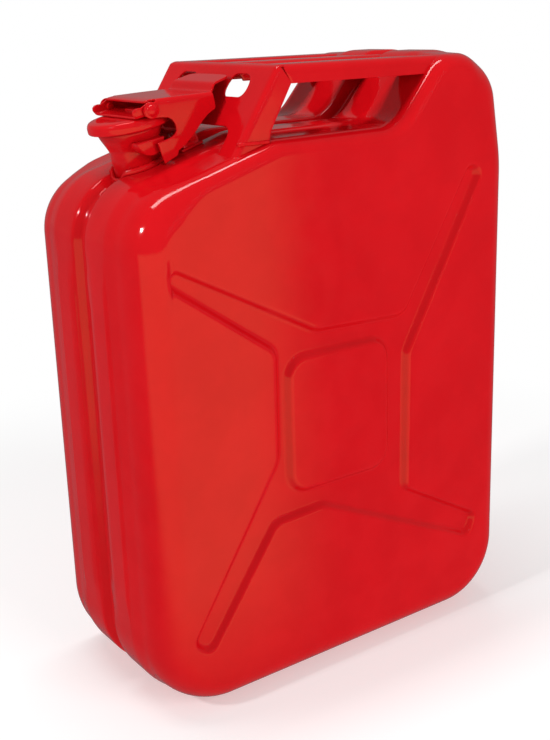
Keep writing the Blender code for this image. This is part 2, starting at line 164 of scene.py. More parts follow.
def red_enamel():
    """Thick gloss paint, a little cloudy, that has run into low waves and a fine skin."""
    mat, graph, bsdf, where = new_material("red_enamel")
    broad = graph.noise(where, 9, 2.0)
    cloud = graph.noise(where, 34, 3.0, 0.6)
    fine = graph.noise(where, 70, 3.0)
    tone = broad.between(0.3, 0.7) * 0.6 + cloud.between(0.35, 0.65) * 0.4
    colour = graph.mix(tone, (0.58, 0.0025, 0.006), (0.65, 0.004, 0.008))
    waves = graph.bump(graph.noise(where, 16, 1.0), 0.12, 0.002)
    skin = graph.bump(graph.noise(where, 420, 2.0), 0.06, 0.0002, waves)
    graph.feed(bsdf, {
        "Base Color": colour, "Roughness": fine.between(0.3, 0.7, 0.07, 0.12), "IOR": 1.38,
        "Normal": skin})
    return mat


def black_rubber():
    """The lid's seal: dull, with a fine grain."""
    mat, graph, bsdf, where = new_material("black_rubber")
    grain = graph.noise(where, 400, 3.0)
    graph.feed(bsdf, {
        "Base Color": graph.mix(grain.between(0.3, 0.7), (0.015, 0.015, 0.015), (0.03, 0.03, 0.03)),
        "Roughness": grain.between(0.3, 0.7, 0.6, 0.75), "Normal": graph.bump(grain, 0.2, 0.0003)})
    return mat


def bare_steel():
    """The breather tube: unpainted drawn steel."""
    mat, graph, bsdf, where = new_material("bare_steel")
    grain = graph.noise(where, 250, 3.0)
    graph.feed(bsdf, {
        "Base Color": graph.mix(grain.between(0.3, 0.7), (0.42, 0.41, 0.40), (0.56, 0.55, 0.54)),
        "Metallic": 1.0, "Roughness": grain.between(0.3, 0.7, 0.28, 0.42),
        "Normal": graph.bump(grain, 0.15, 0.0002)})
    return mat


RED = red_enamel()
RUBBER = black_rubber()
STEEL = bare_steel()


# Mesh helpers, in millimetres
def piece(name, points, faces, body, nodes, matrix=None):
    """One smooth painted piece on a body, which stands for CAD nodes unless there are none."""
    mesh = bpy.data.meshes.new(name)
    mesh.from_pydata([tuple(float(c) for c in p) for p in points], [], faces)
    mesh.transform(Matrix.Scale(MM, 4))
    if matrix is not None:
        mesh.transform(matrix)
    bm = bmesh.new()
    bm.from_mesh(mesh)
    bmesh.ops.remove_doubles(bm, verts=bm.verts, dist=1e-6)
    bmesh.ops.recalc_face_normals(bm, faces=bm.faces)
    bm.to_mesh(mesh)
    bm.free()
    mesh.shade_smooth()
    obj = bpy.data.objects.new(name, mesh)
    scene.collection.objects.link(obj)
    mesh.materials.append(RED)
    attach(obj, body)
    if nodes:
        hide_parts(*nodes)
    return obj


def thicken(obj, thickness, even=False):
    """Gives a surface a wall behind its faces."""
    wall = obj.modifiers.new("wall", "SOLIDIFY")
    wall.thickness = thickness * MM
    wall.offset = -1
    wall.use_even_offset = even


def soften(obj, width, angle, segments=2):
    """Rounds the edges that turn by more than an angle, in degrees."""
    edge = obj.modifiers.new("soften", "BEVEL")
    edge.width = width * MM
    edge.segments = segments
    edge.limit_method = "ANGLE"
    edge.angle_limit = math.radians(angle)


def quads(rings, count, closed):
    """Faces between rings of count points, each ring joined to the next."""
    faces = []
    for i in range(rings if closed else rings - 1):
        a, b = i * count, (i + 1) % rings * count
        for k in range(count):
            j = (k + 1) % count
            faces.append((a + k, a + j, b + j, b + k))
    return faces


def smooth(x):
    """A smooth step from 0 to 1."""
    x = np.clip(x, 0, 1)
    return x * x * (3 - 2 * x)


def mirrored(points, axis):
    """The points of a half outline in reverse, with one coordinate's sign turned."""
    return [(-a, b) if axis == 0 else (a, -b) for a, b in reversed(points)]


def rounded(corners, inset, extra=()):
    """A closed outline from (x, z, radius, steps) corners, anticlockwise, moved in by inset.

    Each number in extra is put after its corner's arc, for spread to fill with points.
    """
    count = len(corners)
    lines = []
    for i in range(count):
        a = np.array(corners[i][:2], float)
        b = np.array(corners[(i + 1) % count][:2], float)
        along = (b - a) / np.linalg.norm(b - a)
        lines.append((a + np.array([-along[1], along[0]]) * inset, along))
    points = []
    for i in range(count):
        p0, d0 = lines[i - 1]
        p1, d1 = lines[i]
        cross = d0[0] * d1[1] - d0[1] * d1[0]
        step = ((p1 - p0)[0] * d1[1] - (p1 - p0)[1] * d1[0]) / cross
        corner = p0 + d0 * step
        turn = math.atan2(cross, float(d0 @ d1))
        radius = corners[i][2] - inset if turn > 0 else corners[i][2] + inset
        start = corner - d0 * radius * abs(math.tan(turn / 2))
        side = np.array([-d0[1], d0[0]]) * (1 if turn > 0 else -1)
        centre = start + side * radius
        arm = start - centre
        steps = corners[i][3]
        for k in range(steps + 1):
            c, s = math.cos(turn * k / steps), math.sin(turn * k / steps)
            points.append((centre[0] + arm[0] * c - arm[1] * s, centre[1] + arm[0] * s + arm[1] * c))
        if extra:
            points.append(extra[i])
    return points


def spread(points):
    """Replaces each number in an outline by that many even points between its neighbours."""
    out = []
    count = len(points)
    for i, p in enumerate(points):
        if isinstance(p, int):
            a, b = points[i - 1], points[(i + 1) % count]
            for k in range(1, p + 1):
                f = k / (p + 1)
                out.append((a[0] + (b[0] - a[0]) * f, a[1] + (b[1] - a[1]) * f))
        else:
            out.append(p)
    return np.array(out)


def fillet(points, radius, steps=4):
    """An open (a, b) polyline with each inner corner rounded, within its shorter side."""
    share = 2.2
    out = [points[0]]
    for p, q, r in zip(points, points[1:], points[2:]):
        p, q, r = (np.array(v, float) for v in (p, q, r))
        back, on = p - q, r - q
        reach = min(radius, np.linalg.norm(back) / share, np.linalg.norm(on) / share)
        a = q + back / np.linalg.norm(back) * reach
        b = q + on / np.linalg.norm(on) * reach
        for k in range(steps + 1):
            t = k / steps
            out.append(tuple((1 - t) ** 2 * a + 2 * t * (1 - t) * q + t * t * b))
    out.append(points[-1])
    return out


def signed_distance(points, outline):
    """Distance to a closed outline, positive inside."""
    outline = np.array(outline)
    best = np.full(len(points), np.inf)
    inside = np.zeros(len(points), bool)
    for a, b in zip(outline, np.roll(outline, -1, axis=0)):
        d = b - a
        t = np.clip(((points - a) @ d) / (d @ d), 0, 1)
        best = np.minimum(best, np.linalg.norm(points - a - t[:, None] * d, axis=1))
        cross = (a[1] > points[:, 1]) != (b[1] > points[:, 1])
        if abs(d[1]) > 1e-12:
            inside ^= cross & (points[:, 0] < a[0] + (points[:, 1] - a[1]) * d[0] / d[1])
    return np.where(inside, best, -best)


def hex_grid(border, step):
    """Points of a hexagonal grid over a border's box."""
    low, high = border.min(0), border.max(0)
    row = step * 0.866
    gx, gz = np.meshgrid(np.arange(low[0], high[0], step), np.arange(low[1], high[1], row))
    gx[1::2] += step / 2
    return np.stack([gx.ravel(), gz.ravel()], 1)


# Body: driving sizes
LENGTH, THICK, HEIGHT, WALL = 345.0, 165.0, 470.5, 1.0
HALF = LENGTH / 2
SHOULDER = (-HALF + 117.1, HEIGHT - 49.5)
SLOPE_Z = HEIGHT - 84.5
SLOPE_RISE = (SHOULDER[1] - SLOPE_Z) / (SHOULDER[0] + HALF)

# Body: the side view's (x, z, radius, steps) corners, and the points on the straight after each
OUTLINE = [
    (-HALF, 0.0, 62.0, 24),
    (HALF, 0.0, 60.0, 24),
    (HALF, HEIGHT - 84.3, 140.0, 6),
    (HALF - 14.3, HEIGHT, 42.0, 20),
    (HALF - 78.4, HEIGHT, 30.0, 12),
    (HALF - 120.6, HEIGHT - 48.0, 30.0, 12),
    (*SHOULDER, 40.0, 6),
    (-HALF, SLOPE_Z, 48.2, 20),
]
EVEN = [14, 24, 6, 3, 5, 9, 12, 20]

# Body: the turn from the sides to the faces, tighter at the top between two fades (x, width)
EDGE_DEEP, EDGE_WIDE, EDGE_STEPS = 31.0, 22.6, 16
TOP_DEEP, TOP_WIDE = 14.0, 11.0
TIGHT_FROM, TIGHT_TO = (-150, 32), (112, 35)
DRAFT, DRAFT_FROM = 2.2, 38

# Body: the sunk seam, the raised band on the narrow sides and the pressed X
SEAM_DEEP, SEAM_FLAT, SEAM_HALF, SEAM_GAP, SEAM_ROUND = 6.0, 4.0, 9.6, 0.15, 2.2
BAND_HALF, BAND_RISE, BAND_LOW, BAND_HIGH = 36.0, 1.5, 73.0, HEIGHT - 135.0
BAND_FADE, BAND_SEAM_FADE, BAND_EDGE_FADE, BAND_TURN = 14, 3, 4, 0.5
CHANNEL_DEEP, CHANNEL_WALL = 4.5, 5.8
PAD_X, PAD_Z = -7.5, 0.447 * HEIGHT
X_OUTLINE = [
    (-HALF + 25.1, 64.1, 9, 6), (-HALF + 41.9, 49.9, 9, 6), (PAD_X - 60.8, PAD_Z - 73.1, 10, 4),
    (PAD_X - 17.0, PAD_Z - 71.1, 20, 4), (HALF - 42.5, 66.7, 9, 6), (HALF - 33.4, 88.3, 9, 6),
    (PAD_X + 67.3, PAD_Z - 76.9, 8, 5), (PAD_X + 68.9, PAD_Z + 35.3, 16, 4),
    (HALF - 34.8, HEIGHT - 91.4, 8, 6), (HALF - 49.1, HEIGHT - 81.5, 8, 6),
    (PAD_X + 62.8, PAD_Z + 68.8, 12, 4), (PAD_X - 20.3, PAD_Z + 71.8, 20, 4),
    (-HALF + 22.2, HEIGHT - 123.3, 8, 6), (-HALF + 21.3, HEIGHT - 140.7, 8, 6),
    (PAD_X - 59.0, PAD_Z + 59.6, 10, 4), (PAD_X - 59.9, PAD_Z - 22.3, 16, 4),
]
PAD = [(PAD_X + a, PAD_Z + b, 14, 8) for a, b in ((-45, -50), (45, -50), (45, 50), (-45, 50))]


def side_profile():
    """(distance from the seam, inset) pairs from the seam to where the edge starts to turn."""
    seam = [(SEAM_GAP, SEAM_DEEP), (SEAM_FLAT, SEAM_DEEP), (SEAM_HALF, 0.0), (20.0, 0.0)]
    band = [(y, 0.0) for y in (26.0, 32.0, 34.0, 35.0, 36.0, 37.0)]
    draft = [(38.0, 0.05), (39.0, 0.15), (40.0, 0.25), (42.0, 0.55), (45.0, 1.05), (48.0, 1.6)]
    return fillet(seam, SEAM_ROUND) + band + draft


def edge_rings(base):
    """Distance from the seam and inset, one ring of values after another, for an outline's points."""
    rings = [(np.full(len(base), y), np.full(len(base), inset)) for y, inset in side_profile()]
    x, z = base[:, 0], base[:, 1]
    fade_in = smooth((x - TIGHT_FROM[0]) / TIGHT_FROM[1])
    fade_out = 1 - smooth((x - TIGHT_TO[0]) / TIGHT_TO[1])
    tight = fade_in * fade_out * (z > HEIGHT / 2)
    deep = EDGE_DEEP + (TOP_DEEP - EDGE_DEEP) * tight
    wide = EDGE_WIDE + (TOP_WIDE - EDGE_WIDE) * tight
    for k in range(EDGE_STEPS + 1):
        a = math.pi / 2 * k / EDGE_STEPS
        rings.append((THICK / 2 - deep * (1 - math.sin(a)), DRAFT + wide * (1 - math.cos(a))))
    return rings


def edge_inset(y):
    """How far the can's top has drawn in at a distance y from the seam."""
    start = THICK / 2 - TOP_DEEP
    sine = np.clip((np.abs(y) - start) / TOP_DEEP, 0, 1)
    drawn = DRAFT * smooth((np.abs(y) - DRAFT_FROM) / (start - DRAFT_FROM))
    return drawn + TOP_WIDE * (1 - np.sqrt(1 - sine ** 2))


def top_line(y, from_x, to_x, above):
    """The can's outline at a distance y from the seam, over a height, from left to right."""
    line = np.array(rounded(OUTLINE, float(edge_inset(y))))
    line = line[(line[:, 0] > from_x) & (line[:, 0] < to_x) & (line[:, 1] > above)]
    return line[np.argsort(line[:, 0])]


def band_rise(x, y, z, inset):
    """How far the raised band on a narrow side stands out."""
    on_side = smooth((np.abs(x) - (HALF - inset - BAND_TURN)) / BAND_TURN)
    tall = smooth((z - BAND_LOW) / BAND_FADE) * smooth((BAND_HIGH - z) / BAND_FADE)
    from_seam = smooth((y - SEAM_HALF) / BAND_SEAM_FADE)
    to_edge = smooth((BAND_HALF + BAND_SEAM_FADE - y) / BAND_EDGE_FADE)
    return BAND_RISE * on_side * tall * from_seam * to_edge


def channel_depth(points):
    """How far the face is pressed in at each (x, z) point, and how far that is from the bend."""
    arms = signed_distance(points, rounded(X_OUTLINE, 0))
    pad = signed_distance(points, rounded(PAD, 0))
    inside = np.minimum(arms, -pad)
    return CHANNEL_DEEP * smooth((inside + 0.6) / CHANNEL_WALL), np.abs(inside - 2)


def face_points(border):
    """Hexagonal grid inside the border, dense where the pressing bends."""
    fine, coarse, bend_reach, border_gap = 1.3, 3.2, 5.5, 1.4
    kept = []
    for step, near, far in ((fine, 0, bend_reach), (coarse, bend_reach, np.inf)):
        grid = hex_grid(border, step)
        grid = grid[signed_distance(grid, border) > border_gap]
        away = channel_depth(grid)[1]
        kept.append(grid[(away >= near) & (away < far)])
    return np.concatenate(kept)


def body_half(name, side, node):
    """One pressed half: rings from the seam round the edge, and a filled face with its channel."""
    base = spread(rounded(OUTLINE, 0, EVEN))
    inward = spread(rounded(OUTLINE, 1, EVEN)) - base
    rings = edge_rings(base)
    count = len(base)
    points = []
    for y, inset in rings:
        ring = base + inward * inset[:, None]
        rise = band_rise(ring[:, 0], y, ring[:, 1], inset)
        x = ring[:, 0] + np.sign(ring[:, 0]) * rise
        out = np.minimum(y, THICK / 2 - channel_depth(ring)[0])
        points += [(a, side * c, b) for a, c, b in zip(x, out, ring[:, 1])]
    faces = quads(len(rings), count, closed=False)
    border = np.array([(p[0], p[2]) for p in points[-count:]])
    flat = [Vector(p) for p in np.concatenate([border, face_points(border)])]
    edges = [(k, (k + 1) % count) for k in range(count)]
    verts, _, tris, origin, _, _ = delaunay_2d_cdt(flat, edges, [], 1, 1e-4)
    place = np.array([tuple(v) for v in verts])
    deep = channel_depth(place)[0]
    first = len(points) - count
    index = {}
    for k, p in enumerate(place):
        from_border = [o for o in origin[k] if o < count]
        if from_border:
            index[k] = first + from_border[0]
        else:
            index[k] = len(points)
            points.append((p[0], side * (THICK / 2 - deep[k]), p[1]))
    faces += [tuple(index[v] for v in tri) for tri in tris]
    thicken(piece(name, points, faces, "can", [node]), WALL)


body_half("near_shell_skin", -1, "near_shell")
body_half("far_shell_skin", 1, "far_shell")

# Formed sheet metal
SHEET = 1.5
SHEET_SOFT, SHEET_ANGLE = 0.35, 55
ACROSS, DOWN = np.array([0, 1.0, 0]), np.array([0, 0, -1.0])


def dense(loop, step):
    """An outline with no edge longer than step."""
    out = []
    for a, b in zip(loop, loop[1:] + loop[:1]):
        a, b = np.array(a, float), np.array(b, float)
        count = max(1, math.ceil(np.linalg.norm(b - a) / step))
        out += [a + (b - a) * k / count for k in range(count)]
    return np.array(out)


def formed(name, outline, place, step, body, nodes, holes=(), thickness=SHEET, matrix=None):
    """A bent sheet: a flat outline, filled with points, set in its place and given a thickness."""
    loops = [dense(list(loop), step) for loop in (outline, *holes)]
    border = np.concatenate(loops)
    grid = hex_grid(border, step)
    gap = step * 0.45
    keep = signed_distance(grid, loops[0]) > gap
    for hole in loops[1:]:
        keep &= signed_distance(grid, hole) < -gap
    edges = []
    for loop in loops:
        first = len(edges)
        edges += [(first + k, first + (k + 1) % len(loop)) for k in range(len(loop))]
    flat = [Vector(p) for p in np.concatenate([border, grid[keep]])]
    verts, _, tris, _, _, _ = delaunay_2d_cdt(flat, edges, [], 1, 1e-5)
    flat = np.array([tuple(v) for v in verts])
    for hole in loops[1:]:
        middle = flat[np.array(tris)].mean(1)
        tris = [t for t, d in zip(tris, signed_distance(middle, hole)) if d < 0]
    obj = piece(name, place(flat), [tuple(t) for t in tris], body, nodes, matrix)
    thicken(obj, thickness, even=True)
    soften(obj, SHEET_SOFT, SHEET_ANGLE)


def round_off(points, planes, radius, passes=30):
    """Rounds the ridges of a faceted shell: planes are (inward normal, distance) pairs."""
    core = points.copy()
    for _ in range(passes):
        for normal, level in planes:
            short = np.maximum(radius - (core @ normal - level), 0)
            core += short[:, None] * normal
    away = points - core
    size = np.linalg.norm(away, axis=1, keepdims=True)
    return np.where(size > 1e-9, core + away / np.maximum(size, 1e-9) * radius, points)


def side_planes(half):
    """The two outer sides of a folded sheet."""
    return [(ACROSS, -half), (-ACROSS, -half)]


def folded(flat, half, radius):
    """Developed (along, across) points of a sheet whose sides are folded down, its web at 0."""
    along, across = flat[:, 0], flat[:, 1]
    side = np.clip(across, -half, half)
    drop = np.abs(across) - np.abs(side)
    planes = [(DOWN, 0.0)] + side_planes(half)
    return round_off(np.stack([along, side, -drop], 1), planes, radius)


# Handle: a leaning front plate with side flanges, and three bars
HANDLE_HALF, BAR_WIDE, BAR_TOP, BAR_DEEP = 72.5, 27.0, HEIGHT - 2.7, 13.0
BAR_ROUND, BAR_START, BAR_SHOULDER, BAR_MITRE, BAR_END = 6.5, 5.3, 4.0, 0.6, 107.0
HUMP_FROM, HUMP_TO, HUMP_ABOVE = 40, 112, 400
LEAN = math.radians(33.8)
FOOT = np.array([SHOULDER[0] - 28.7, SHOULDER[1] - 5.6])
UP = np.array([math.sin(LEAN), math.cos(LEAN)])
BACK = np.array([UP[1], -UP[0]])
PLATE_HIGH = (BAR_TOP - FOOT[1]) / UP[1]
PLATE_FOLD, PLATE_LAP = 3.6, 5.0
PLATE_STEP = 1.8
MITRE_X = FOOT[0] + UP[0] * PLATE_HIGH


def on_plate(flat):
    """Developed (across, up) coordinates of the front plate to its folded place."""
    across, up = flat[:, 0], flat[:, 1]
    side = np.clip(across, -HANDLE_HALF, HANDLE_HALF)
    deep = np.abs(across) - np.abs(side)
    over = np.maximum(up - PLATE_HIGH, 0)
    up = np.minimum(up, PLATE_HIGH)
    x = FOOT[0] + UP[0] * up + BACK[0] * deep + over
    z = FOOT[1] + UP[1] * up + BACK[1] * deep
    front = (np.array([BACK[0], 0, BACK[1]]), float(BACK @ FOOT))
    planes = [front, (DOWN, -BAR_TOP)] + side_planes(HANDLE_HALF)
    return round_off(np.stack([x, side, z], 1), planes, PLATE_FOLD)


def plate_spot(x, z):
    """Developed coordinates, right of the fold, of a flange point in the XZ plane."""
    d = np.array([x, z]) - FOOT
    return (HANDLE_HALF + float(d @ BACK), float(d @ UP))


def make_front_plate():
    """The plate stands on two feet with a gap between them, and has two windows."""
    foot_low, gap_half = -12.0, 52.5
    gap = [(0.0, 14.7), (40.0, 14.7), (45.0, 14.4), (49.0, 12.8), (51.6, 9.8), (gap_half, 6.0)]
    foot = [(gap_half, foot_low), (HANDLE_HALF, foot_low)]
    flange = [
        plate_spot(FOOT[0] + 6, FOOT[1] - 12.5), plate_spot(FOOT[0] + 24.4, FOOT[1] - 8.0),
        plate_spot(FOOT[0] + 25.8, FOOT[1] + 3.0), plate_spot(FOOT[0] + 27.4, FOOT[1] + 9.0),
        plate_spot(MITRE_X + 10.6, BAR_TOP - 12.2), plate_spot(MITRE_X + 0.6, BAR_TOP),
    ]
    lap = [(HANDLE_HALF - 0.5, PLATE_HIGH + PLATE_LAP), (0.0, PLATE_HIGH + PLATE_LAP)]
    half = gap + foot + flange + lap
    inner, outer, sill, lintel = 22, 48.5, 446.3, 461.3
    window = rounded([(inner, sill, 6, 5), (outer, sill, 6, 5), (outer, lintel, 8, 6),
                      (inner, lintel, 8, 6)], 0)
    window = [(a, (b - FOOT[1]) / UP[1]) for a, b in window]
    formed("handle_front_sheet", half + mirrored(half[1:-1], 0), on_plate, PLATE_STEP, "can",
           ["handle_front_plate"], [window, mirrored(window, 0)])


def bar_end(y, z):
    """X where a bar at (y, z) runs into the hump."""
    line = top_line(y, HUMP_FROM, HUMP_TO, HUMP_ABOVE)
    above = line[:, 1] >= z
    reach = line[np.argmax(above), 0] if above.any() else BAR_END
    return min(reach + 1.0, BAR_END)


def make_bar(name, middle):
    """An inverted channel from the front plate's mitred top to the hump."""
    front, rear = [], []
    half = BAR_WIDE / 2
    for across in np.linspace(-half - BAR_DEEP, half + BAR_DEEP, 33):
        side = np.clip(across, -half, half)
        drop = abs(across) - abs(side)
        mitre = max(drop - BAR_SHOULDER, 0) * BAR_MITRE
        front.append((MITRE_X + BAR_START + mitre, across))
        rear.append((bar_end(middle + side, BAR_TOP - drop), across))

    def on_bar(flat):
        return folded(flat, half, BAR_ROUND) + np.array([0, middle, BAR_TOP])

    formed("handle_bar_%s_sheet" % name, front[::-1] + rear, on_bar, PLATE_STEP, "can",
           ["handle_bar_" + name])


make_front_plate()
make_bar("near", -HANDLE_HALF + BAR_WIDE / 2)
make_bar("middle", 0.0)
make_bar("far", HANDLE_HALF - BAR_WIDE / 2)

# Closure, in the frame of the leaning neck: t runs back, s runs up the neck
NECK_LEAN = math.radians(10.0)
NECK_X, NECK_SUNK = -HALF + 51.4, 3.4
NECK_FOOT = Vector((NECK_X, 0.0, SLOPE_Z + (NECK_X + HALF) * SLOPE_RISE - NECK_SUNK))
NECK = Matrix.Translation(NECK_FOOT * MM) @ Matrix.Rotation(-NECK_LEAN, 4, "Y")
PIVOT, PIVOT_HOLE = (2.7, 43.2), 2.7
LEVER_HALF, LEVER_FOLD, LEVER_STEP, LEVER_BACK = 32.0, 3.0, 1.3, 74.0

# Lever: the (t, s) line of its web, and the outline of a cheek with its hook and notch
LEVER_TOP = [(-4.0, 49.0), (4.0, 49.7), (8.0, 49.5), (23.8, 47.6), (33.4, 46.4), (50.2, 44.2),
             (53.4, 43.6), (55.2, 45.6), (57.0, 48.2), (58.6, 48.9), (72.2, 50.6), (76.0, 51.0)]
LEVER_TOP = fillet(LEVER_TOP, 2.5, 5)
CHEEK = [
    (-1.6, 46.2), (-2.8, 44.4), (-3.1, 42.2), (-2.5, 40.2), (-0.8, 38.9), (1.8, 38.1), (5.0, 37.5),
    (10.0, 36.6), (14.2, 35.4), (17.0, 33.2), (18.6, 29.8), (18.8, 27.0), (18.0, 24.6), (16.2, 22.9),
    (13.0, 21.9), (8.0, 21.3), (2.4, 20.8), (3.6, 13.0), (4.8, 5.8), (10.6, 7.5), (15.0, 8.8),
    (16.0, 9.8), (17.2, 12.0), (19.6, 12.8), (23.5, 14.4), (32.0, 20.0), (40.6, 26.8), (45.0, 29.6),
    (48.4, 31.0), (51.6, 32.0), (52.6, 33.0), (52.9, 36.0),
]


def lever_height(t):
    """Height of the lever's web along its length."""
    return np.interp(t, *zip(*LEVER_TOP))


def on_lever(flat):
    """Developed (along, across) coordinates of the lever to its folded place."""
    out = folded(flat, LEVER_HALF, LEVER_FOLD)
    out[:, 2] += lever_height(flat[:, 0])
    return out


def on_cheek(points):
    """Developed coordinates of (t, s) points on the lever's side."""
    return [(t, LEVER_HALF + float(lever_height(t)) - s) for t, s in points]


def make_lever():
    """The hook lever: a web with slots for the yoke's ears, two cheeks and a turned-up lip."""
    nose = [(0.6, 0.0), (0.6, 26.2), (1.2, 27.2), (2.2, 27.6), (7.0, 27.6), (8.0, 28.4), (8.2, 30.6),
            (7.4, 32.6), (5.6, 33.4), (2.6, 33.6), (0.2, 34.2)]
    lip = [(52.6, LEVER_HALF + 3.0), (52.8, LEVER_HALF - 1.2), (53.6, LEVER_HALF - 3.6), (55.4, 27.6),
           (59.0, 27.2), (66.0, 26.8), (70.4, 25.4), (72.6, 22.0), (73.6, 16.0), (LEVER_BACK, 8.0)]
    half = nose + on_cheek(CHEEK) + lip
    outline = half + [(LEVER_BACK, 0.0)] + mirrored(half[1:], 1)
    turns = [k * math.pi / 8 for k in range(16)]
    hole = on_cheek([(PIVOT[0] + PIVOT_HOLE * math.cos(a), PIVOT[1] + PIVOT_HOLE * math.sin(a))
                     for a in turns])
    formed("lever_sheet", outline, on_lever, LEVER_STEP, "lever_group", ["lever"],
           [hole, mirrored(hole, 1)], matrix=NECK)


def turned(name, profile, body, nodes, matrix=NECK, steps=96):
    """A closed (radius, height) profile turned once around the height axis."""
    points = []
    for k in range(steps):
        c, s = math.cos(2 * math.pi * k / steps), math.sin(2 * math.pi * k / steps)
        points += [(r * c, r * s, h) for r, h in profile]
    piece(name, points, quads(steps, len(profile), closed=True), body, nodes, matrix)


def across_axis(t, s, side):
    """The frame of a part turned about the neck frame's cross axis, outward on one side."""
    place = Matrix.Translation(Vector((t, 0, s)) * MM)
    return NECK @ place @ Matrix.Rotation(-side * math.pi / 2, 4, "X")


def slab(name, outline, low, high, body, nodes, width):
    """An outline in the neck's (t, s) plane, given a thickness across, with soft edges."""
    count = len(outline)
    points = [(t, low, h) for t, h in outline] + [(t, high, h) for t, h in outline]
    faces = [tuple(range(count)), tuple(range(2 * count - 1, count - 1, -1))]
    faces += [(k, k + count, (k + 1) % count + count, (k + 1) % count) for k in range(count)]
    soften(piece(name, points, faces, body, nodes, NECK), width, 40, 3)


def make_neck():
    """The filler neck, with its swell under the lid."""
    radius, bore, round_by = 17.5, 16.1, 2.0
    line = [(radius, -6), (radius, 16.5), (radius + 1.4, 19.8), (22.0, 26.4), (22.8, 29.0),
            (22.0, 31.0), (22.0, 32.4)]
    inside = [(20.8, 32.4), (20.8, 29.8), (20.6, 27.2), (radius, 20.6), (bore, 17.0), (bore, -6)]
    turned("neck_tube", fillet(line, round_by) + fillet(inside, round_by), "can", ["neck"])


def make_lid():
    """The pressed cap with its rolled rim."""
    line = [(0, 39.0), (23.0, 39.0), (27.6, 38.2), (28.9, 35.6), (28.9, 32.0), (28.5, 31.0),
            (27.5, 31.0), (27.2, 32.2), (27.2, 35.8), (18, 35.8), (16, 37.6), (0, 37.6)]
    turned("lid_cap", fillet(line, 1.6), "lid_group", ["lid"])


STRAP_LOW, SADDLE_HALF, EAR_ROUND, SADDLE_FOLD = 39.3, 29.9, 5.2, 3.0
YOKE_STEP = 1.6
HINGE = (36.0, 15.6)
ARM = np.array(fillet([(4.0, 42.0), (33.4, 42.0), (33.4, 22.0), (34.6, 18.6)], 6.0, 8))
ARM_ALONG = np.concatenate([[0], np.cumsum(np.linalg.norm(np.diff(ARM, axis=0), axis=1))])


def on_saddle(flat):
    """Developed (along, across) coordinates of the strap with its two upturned ears."""
    out = folded(flat, SADDLE_HALF, SADDLE_FOLD)
    out[:, 2] = STRAP_LOW - out[:, 2]
    return out


def on_arm(flat):
    """Developed (along, across) coordinates of the arm to its bent place."""
    t = np.interp(flat[:, 0], ARM_ALONG, ARM[:, 0])
    h = np.interp(flat[:, 0], ARM_ALONG, ARM[:, 1])
    return np.stack([t, flat[:, 1], h], 1)


def make_yoke():
    """The strap over the lid with an ear on each side, its arm and the hinge barrel."""
    ear = [(-9.6, 41.0), (-10.6, 43.0), (-10.4, 45.0), (-8.6, 46.4), (-6.0, 46.6), (-3.8, 46.2),
           (-1.6, 46.8)]
    ear += [(PIVOT[0] + EAR_ROUND * math.cos(a), PIVOT[1] + EAR_ROUND * math.sin(a))
            for a in np.linspace(math.radians(125), math.radians(-40), 8)]
    ear = [(t, SADDLE_HALF + h - STRAP_LOW) for t, h in ear]
    rear = [(8.2, 20.0), (7.6, 10.0), (7.6, -10.0), (8.2, -20.0)]
    front = [(-8.6, -SADDLE_HALF + 3), (-8.4, -10.0), (-8.4, 10.0), (-8.6, SADDLE_HALF - 3)]
    formed("lid_yoke_saddle", ear + rear + mirrored(ear, 1) + front, on_saddle, YOKE_STEP,
           "lid_group", ["lid_yoke"], matrix=NECK)
    reach, half = ARM_ALONG[-1], 11
    arm = [(0, 2 - half), (2, -half), (reach, -half), (reach, half), (2, half), (0, half - 2)]
    formed("lid_yoke_arm", arm, on_arm, YOKE_STEP, "lid_group", ["lid_yoke"], thickness=1.6,
           matrix=NECK)
    outer, bore, end = 5.0, 2.9, 14.0
    barrel = [(outer, -end), (outer, end), (bore, end), (bore, -end)]
    turned("lid_yoke_barrel", barrel, "lid_group", ["lid_yoke"], across_axis(*HINGE, 1), 40)


def make_rivet(name, side):
    """A rivet from the yoke's ear out through the lever, with a domed head."""
    shank, head, start, seat = 2.5, 5.6, 26.6, LEVER_HALF + 0.1
    dome, dome_high, dome_from = 4.0, 2.4, 32.8
    line = [(0, start), (shank, start), (shank, seat), (head, seat), (head, 32.6), (4.4, 32.9)]
    line += [(dome * math.cos(a), dome_from + dome_high * math.sin(a))
             for a in np.linspace(0.1, math.pi / 2, 9)]
    turned("lever_rivet_" + name + "_head", fillet(line, 0.6, 3), "lid_group",
           ["lever_rivet_" + name], across_axis(*PIVOT, side), 40)


def make_lug(name, side):
    """The half-disc lug on the neck that the lever's hook pulls against."""
    radius, height, inner, outer, edge = 10.6, 23.4, 14.0, 27.6, 0.8
    disc = [(radius * math.cos(a), height + radius * math.sin(a))
            for a in np.linspace(math.pi, 2 * math.pi, 25)]
    low, high = sorted((side * inner, side * outer))
    slab("neck_lug_" + name + "_disc", disc, low, high, "can", ["neck_lug_" + name], edge)


make_lever()
make_neck()
make_lid()
make_yoke()
for name, side in (("near", -1), ("far", 1)):
    make_rivet(name, side)
    make_lug(name, side)


# Weld beads
RIPPLES = ((0.16, 2.1), (0.1, 0.77))


